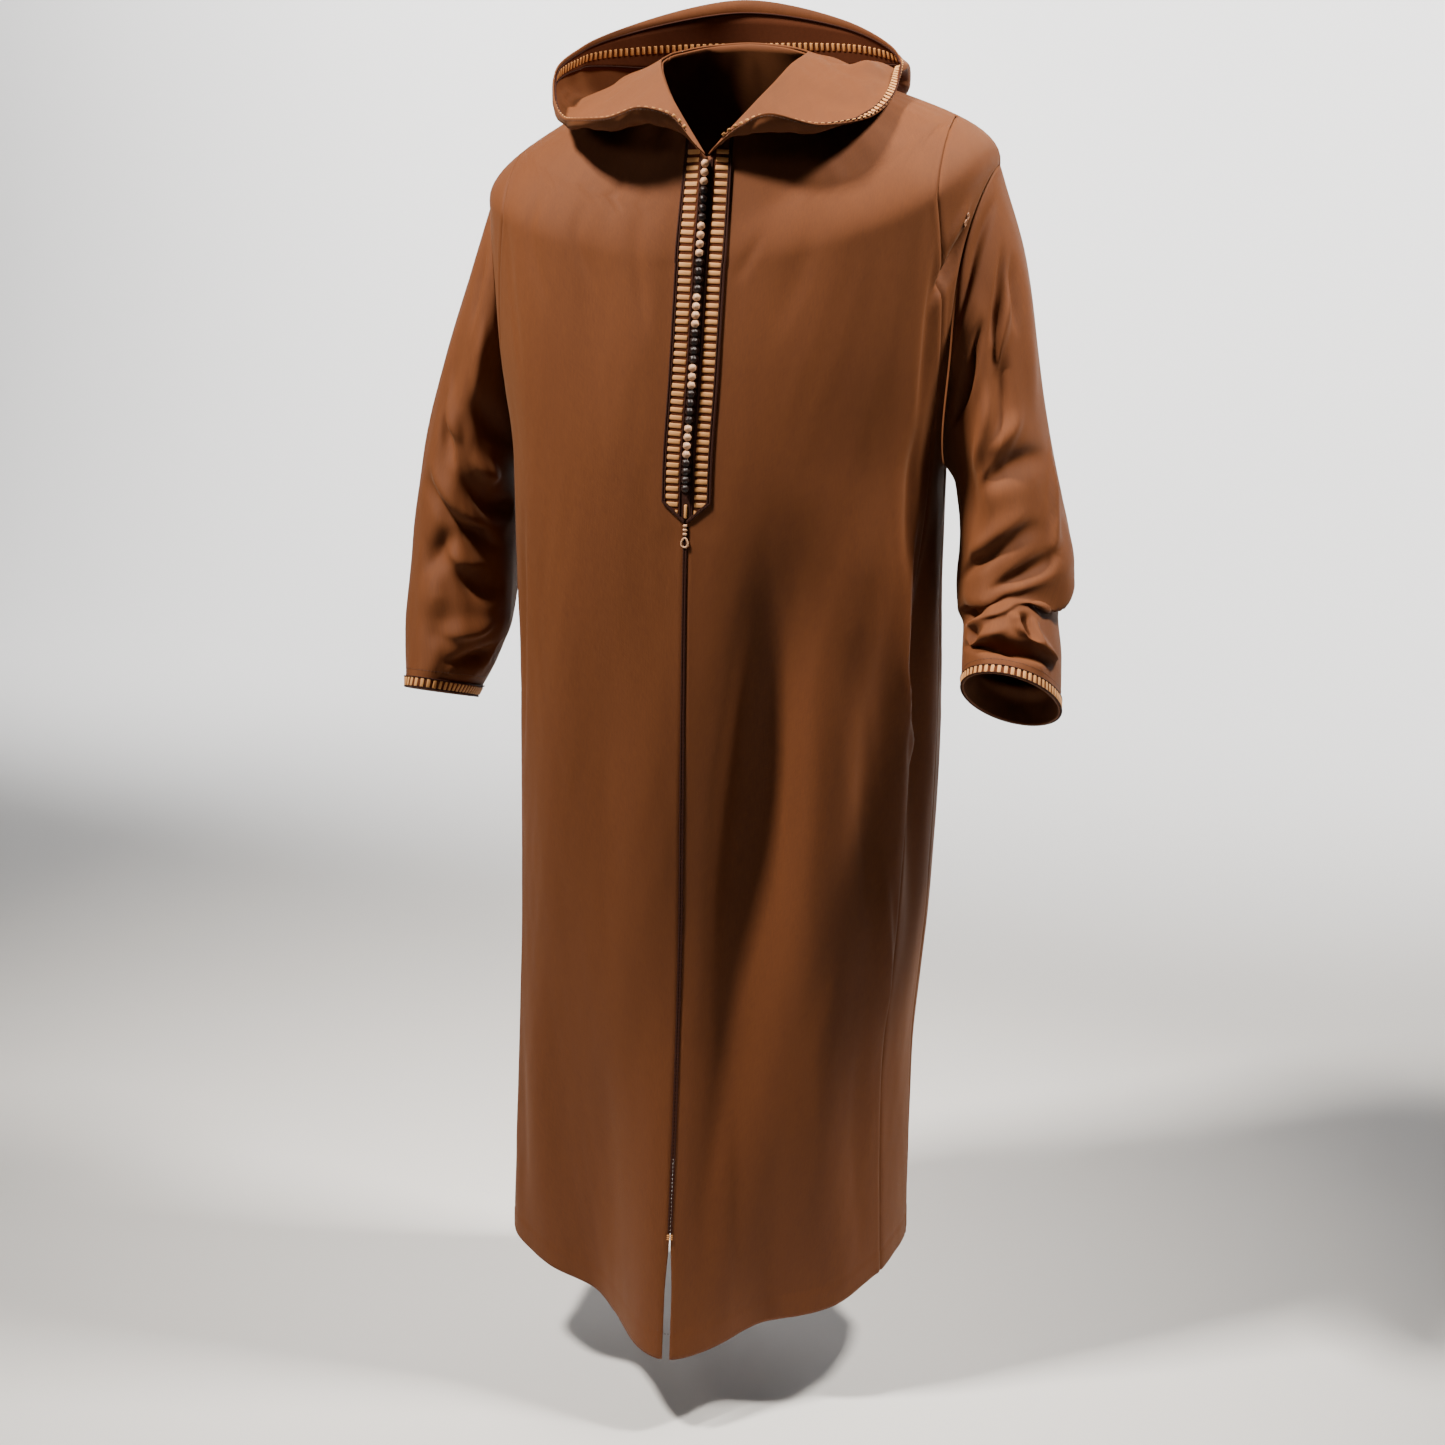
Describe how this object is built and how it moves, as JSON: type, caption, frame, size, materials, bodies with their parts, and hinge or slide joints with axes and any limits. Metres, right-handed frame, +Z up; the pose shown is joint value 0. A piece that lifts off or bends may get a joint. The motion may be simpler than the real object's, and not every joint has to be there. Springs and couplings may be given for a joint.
{
  "type": "djellaba robe",
  "caption": "Long hooded djellaba robe in its worn form, with wide sleeves, a striped braid placket of knot buttons and the hood lying round the neck.",
  "frame": {"origin": "the point at the base of the neck, on the line between the shoulders, where the worn robe is held", "axes": "+Z up along the worn robe, -Y out of its front, +X to the wearer's left"},
  "size_m": [0.7776, 0.4675, 1.5142],
  "materials": {
    "robe cloth": "matte fine heathered brown weave",
    "striped trim": "dark brown braid crossed by satin gold stripes",
    "dark braid": "matte twisted dark brown cord",
    "light knots": "satin pale gold thread, knotted",
    "dark knots": "dark brown thread, knotted"
  },
  "bodies": {
    "root": {"front_right": "robe cloth", "front_left": "robe cloth", "side_strip_right": "robe cloth", "side_strip_left": "robe cloth", "back": "robe cloth", "sleeve_right": "robe cloth", "sleeve_left": "robe cloth", "hood": "robe cloth", "hood_trim": "striped trim", "cuff_trim_right": "striped trim", "cuff_trim_left": "striped trim", "band_right": "striped trim", "band_left": "striped trim", "button_strip": "dark braid", "centre_braid": "dark braid", "slit_bartack": "light knots", "button_01": "light knots", "button_02": "light knots", "button_03": "light knots", "button_04": "dark knots", "button_05": "dark knots", "button_06": "dark knots", "button_07": "dark knots", "button_08": "light knots", "button_09": "light knots", "button_10": "light knots", "button_11": "light knots", "button_12": "dark knots", "button_13": "dark knots", "button_14": "dark knots", "button_15": "dark knots", "button_16": "light knots", "button_17": "light knots", "button_18": "light knots", "button_19": "light knots", "button_20": "dark knots", "button_21": "dark knots", "button_22": "dark knots", "button_23": "dark knots", "button_24": "light knots", "button_25": "light knots", "button_26": "light knots", "button_27": "dark knots", "button_28": "dark knots", "button_29": "dark knots", "button_30": "dark knots", "button_31": "light knots", "button_32": "light knots", "button_33": "light knots", "button_34": "light knots", "button_35": "dark knots", "button_36": "dark knots", "button_37": "dark knots", "button_38": "dark knots"}
  },
  "joints": []
}
